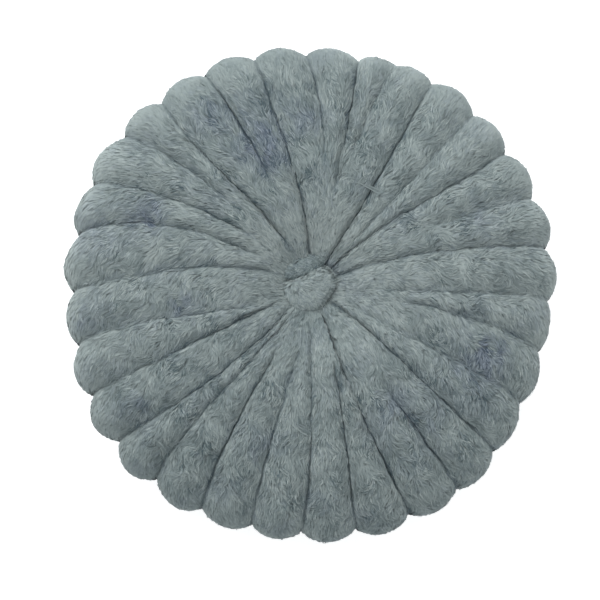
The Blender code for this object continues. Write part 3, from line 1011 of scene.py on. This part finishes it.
def shaded_at_seams(tone, cool, lie, at_tip, random):
    """Tone and coolness of blades: speckled, and painted darker and cooler where the tip is in a
    seam, as painted shade.
    """
    bunch = bunched(lie.reach)
    dark_within = (DARK_WITHIN + BUNCHED_WITHIN * bunch) * MM
    seam_shade = at_tip.sewn * (1 - smooth_step(0, dark_within, at_tip.from_seam))
    seam_shade = seam_shade * (1 - RIM_HIDES_SEAM * lie.rim)
    speckle = random.normal(0, 1, len(tone)) * (SPECKLE + RUBBED_SPECKLE * lie.rubbed)
    tone = tone + speckle * (1 - RIM_EVENS * lie.rim)
    tone = tone - (SEAM_DARKENS + BUNCHED_DARKENS * bunch) * seam_shade
    return tone, cool + SEAM_COOLS * seam_shade


# %% Grow the cushion's pile
def grow_pile(random):
    """Blades of all tufts: roots, middles, tips, their half widths, their cloth's normals, tone
    and coolness."""
    ring, column = spread_tufts(TUFTS, random)
    place = on_cloth(backing, ring, column)
    bearing = np.degrees(np.arctan2(place[:, 1], place[:, 0])) % 360
    reach = np.hypot(place[:, 0], place[:, 1])
    rim = np.maximum(smooth_step(*RIM_FROM, reach), past_rim(ring, *RIM_RINGS))
    cool = bluish(place)
    stroked = rim * laid("stroked", bearing)
    lie = lie_of_tufts(ring, column, place, bearing, stroked, cool, random)
    tone = per_blade(tone_of_tufts(lie, place, bearing, rim, cool, random))
    cool = per_blade(cool + random.normal(0, TUFT_COOL, TUFTS))
    lie = Lie(*map(per_blade, lie))

    count = len(tone)
    spin = random.uniform(0, 2 * np.pi, count)
    away = TUFT_SPREAD * (1 + RIM_SPREADS * lie.rim) * np.sqrt(random.uniform(0, 1, count))
    to_middle, to_tip = course_of_blades(lie, random)
    cell_wide = np.linalg.norm(on_cloth(across_step, lie.ring, lie.column), axis=-1)
    roots = Roots(
        ring=lie.ring,
        column=lie.column,
        along=away * np.cos(spin),
        across=away * np.sin(spin),
        long=np.linalg.norm(on_cloth(along_step, lie.ring, lie.column), axis=-1),
        wide=np.maximum(cell_wide, NARROWEST_CELL),
        rim=lie.rim,
        crossing=random.uniform(*CROSSING, count),
        bridging=random.uniform(0, 1, count),
    )
    gathered = TIP_SPREAD + (1 - TIP_SPREAD) * lie.rim
    at_middle = settled(roots, *to_middle[:2], 0.5 + gathered / 2)
    at_tip = settled(roots, *to_tip[:2], gathered)
    root = lifted(settled(roots, 0, 0, 1.0), 0)
    middle, tip = lifted(at_middle, to_middle[2]), lifted(at_tip, to_tip[2])
    for points in (middle, tip):
        points[:, 2] = np.maximum(points[:, 2], FLOOR_CLEAR)

    normal = on_cloth(outward, at_middle.ring, at_middle.column)
    sideways = unit(np.cross(tip - root, normal))
    roll = random.normal(0, BLADE_ROLL, count)
    width = BLADE_WIDTH / 2 * (1 + RIM_WIDENS * lie.rim) * random.uniform(*BLADE_WIDTHS, count)
    side = blade_sides(sideways, normal, tip - root, roll, width)
    return root, middle, tip, side, normal, *shaded_at_seams(tone, cool, lie, at_tip, random)


strands = grow_pile(np.random.default_rng(PILE_SEED))
bearing = np.degrees(np.arctan2(strands[0][:, 1], strands[0][:, 0])) % 360
order = np.argsort(bearing, kind="stable")
for number, chosen in enumerate(np.array_split(order, PILE_PIECES), start=1):
    name = f"pile_{number}"
    pile = piece_from(name, blades_mesh(name, *[part[chosen] for part in strands]), pile_plush)
    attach(pile, "root")
    print(name, "triangles:", len(chosen) * 2)

# %% [markdown]
# The knot. A strip of the same plush is drawn over the gather and stitched down. What shows is a
# plump leaf with a straight slanting upper edge, and the strip's end as a short roll behind it.
# Both are padded forms with their own pile.

# %% Knot forms
KNOT_MIDDLE = np.array((-1.4, 6.9, 72.0)) * MM
KNOT_HALF_HEIGHT = 9.5 * MM
Corner = namedtuple("Corner", "bearing reach")
KNOT_OUTLINE = (
    Corner(10, 24.5),
    Corner(32, 26.5),
    Corner(50, 25.0),
    Corner(80, 16.0),
    Corner(113, 13.2),
    Corner(145, 15.8),
    Corner(172, 22.5),
    Corner(199, 23.5),
    Corner(235, 24.0),
    Corner(263, 21.0),
    Corner(299, 21.5),
    Corner(327, 19.5),
    Corner(348, 22.0),
)
KNOT_FULLNESS = 2.4
END_MIDDLE = np.array((-3.0, 26.0, 72.6)) * MM
END_HALF_SIZE = np.array((20.0, 9.0, 5.6)) * MM
END_TURN = math.radians(20)
KNOT_PILE_DEPTH = 2.2 * MM
KNOT_OVERHANG = 3.4 * MM  # how far the pile reaches past the leaf's edge
LEAF_TILT = 0.16  # the leaf's rise towards its upper edge
KNOT_RINGS, KNOT_COLUMNS = 24, 64


def ball_grid():
    """A unit ball as rings from its top to its underside."""
    down = np.linspace(0, np.pi, KNOT_RINGS + 1)[:, None]
    around = np.linspace(0, 2 * np.pi, KNOT_COLUMNS, endpoint=False)[None, :]
    flat = np.sin(down) * np.ones_like(around)
    height = np.cos(down) * np.ones_like(around)
    return np.stack((flat * np.cos(around), flat * np.sin(around), height), -1)


def knot_leaf_grid():
    """The leaf: the ball's level stretched to the outline in each direction, with both level and
    height raised to a power that makes it fuller than an ellipse."""
    ball = ball_grid()
    level = np.hypot(ball[..., 0], ball[..., 1])
    bearing = np.degrees(np.arctan2(ball[..., 1], ball[..., 0])) % 360
    first = KNOT_OUTLINE[0]
    round_again = KNOT_OUTLINE + (Corner(first.bearing + 360, first.reach),)
    known = np.array([corner.bearing for corner in round_again])
    reaches = np.array([corner.reach for corner in round_again]) * MM
    bearing = np.where(bearing < known[0], bearing + 360, bearing)
    row = np.clip(np.searchsorted(known, bearing, side="right") - 1, 0, len(known) - 2)
    share = smooth_step(known[row], known[row + 1], bearing)
    reach = reaches[row] * (1 - share) + reaches[row + 1] * share - KNOT_OVERHANG
    scale = reach * level ** (2 / KNOT_FULLNESS) / np.maximum(level, 1e-6)
    lift = np.sign(ball[..., 2]) * np.abs(ball[..., 2]) ** (2 / KNOT_FULLNESS)
    lift = lift * (KNOT_HALF_HEIGHT - KNOT_PILE_DEPTH)
    x, y = ball[..., 0] * scale, ball[..., 1] * scale
    return np.stack((x, y, lift + LEAF_TILT * y), -1) + KNOT_MIDDLE


def knot_end_grid():
    """The roll: the ball drawn out to three half sizes and turned to the leaf's upper edge."""
    x, y, z = np.moveaxis(ball_grid() * (END_HALF_SIZE - KNOT_PILE_DEPTH), -1, 0)
    cosine, sine = math.cos(END_TURN), math.sin(END_TURN)
    return np.stack((x * cosine - y * sine, x * sine + y * cosine, z), -1) + END_MIDDLE


# %% Pile of a small form
Fur = namedtuple("Fur", "tufts seed fan_from length tone")
# Painted light and shade: the leaf's pile is a little paler, the roll's behind it much darker.
LEAF_FUR = Fur(900, 41, KNOT_MIDDLE + np.array((-14, 6, 6)) * MM, 8 * MM, 0.58 + 0.04)
END_FUR = Fur(420, 42, END_MIDDLE + np.array((22, 4, 6)) * MM, 7 * MM, 0.58 - 0.42)
FORM_COVERED = (-0.6, -0.2)  # heights of the normal between which the underside goes bare
FORM_RADIUS = 22 * MM
TUFT_FANS, BLADE_FANS = 0.28, 0.10  # how far tufts and blades stray from the fan
SCATTER, SCATTER_TAKEN_BACK = 0.6 * MM, 0.5
FORM_LENGTHS, FORM_WIDTHS, FORM_ROLL = (0.8, 1.15), (0.7, 1.1), 14
MIDDLE_ALONG, MIDDLE_RISE, TIP_ALONG, TIP_RISE = 0.48, 0.15, 0.96, 0.24  # shares of the length
FORM_TUFT_TONE, FORM_BLADE_TONE, FORM_COOL, FORM_TUFT_COOL = 0.08, 0.22, 0.05, 0.08


def rooted_on_form(grid, tufts, random):
    """Places and normals of tufts spread over all but the underside of a form by its area."""
    step_down, step_round = cloth_axes(grid)[:2]
    normals = np.cross(step_down, step_round)
    weight = np.linalg.norm(normals, axis=-1)
    normals[0], normals[-1] = (0, 0, 1), (0, 0, -1)
    normals = unit(normals)
    total = np.cumsum((weight * smooth_step(*FORM_COVERED, normals[..., 2])).ravel())
    cell = np.searchsorted(total, random.uniform(0, total[-1], tufts))
    at = cell // KNOT_COLUMNS, cell % KNOT_COLUMNS
    jitter = random.uniform(-0.5, 0.5, (tufts, 2, 1))
    return grid[at] + step_down[at] * jitter[:, 0] + step_round[at] * jitter[:, 1], normals[at]


def pile_on_form(grid, fur):
    """Blades over a small form. A tuft points away from the fur's fan_from, laid in the surface
    there, and bends down over the form by length^2 / (2 * radius)."""
    random = np.random.default_rng(fur.seed)
    root, normal = rooted_on_form(grid, fur.tufts, random)
    count = fur.tufts * BLADES_PER_TUFT
    away = unit(root - fur.fan_from) + TUFT_FANS * random.normal(size=(fur.tufts, 3))
    away = per_blade(away) + BLADE_FANS * random.normal(size=(count, 3))
    root, normal = per_blade(root), per_blade(normal)
    away = unit(away - normal * np.einsum("ij,ij->i", away, normal)[:, None])
    sideways = np.cross(normal, away)
    scatter = random.normal(0, SCATTER, (count, 2))
    root = root + sideways * scatter[:, :1] + away * scatter[:, 1:]
    reach = (fur.length * random.uniform(*FORM_LENGTHS, count))[:, None]
    middle = root + away * reach * MIDDLE_ALONG + normal * (reach * MIDDLE_RISE)
    tip = root - sideways * scatter[:, :1] * SCATTER_TAKEN_BACK + away * reach * TIP_ALONG
    tip = tip + normal * (reach * TIP_RISE - reach**2 / (2 * FORM_RADIUS))
    roll = random.normal(0, FORM_ROLL, count)
    width = BLADE_WIDTH / 2 * random.uniform(*FORM_WIDTHS, count)
    side = blade_sides(sideways, normal, tip - root, roll, width)
    tone = fur.tone + per_blade(random.normal(0, FORM_TUFT_TONE, fur.tufts))
    tone = tone + random.normal(0, FORM_BLADE_TONE, count)
    cool = np.clip(FORM_COOL + per_blade(random.normal(0, FORM_TUFT_COOL, fur.tufts)), 0, 1)
    return root, middle, tip, side, normal, tone, cool


# %% Knot pieces
def knot_piece(name, node, grid, fur):
    """A padded form in place of its solid, and the pile on it."""
    form = piece_from(name, mesh_from(name, *closed_rings(grid)), backing_knit)
    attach(form, "root")
    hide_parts(node)
    parts = pile_on_form(grid, fur)
    pile = piece_from(name + "_pile", blades_mesh(name + "_pile", *parts), pile_plush)
    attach(pile, "root")
    print(name, "form and", len(parts[0]), "blades")


knot_piece("knot_leaf", "centre_knot", knot_leaf_grid(), LEAF_FUR)
knot_piece("knot_roll", "knot_end", knot_end_grid(), END_FUR)
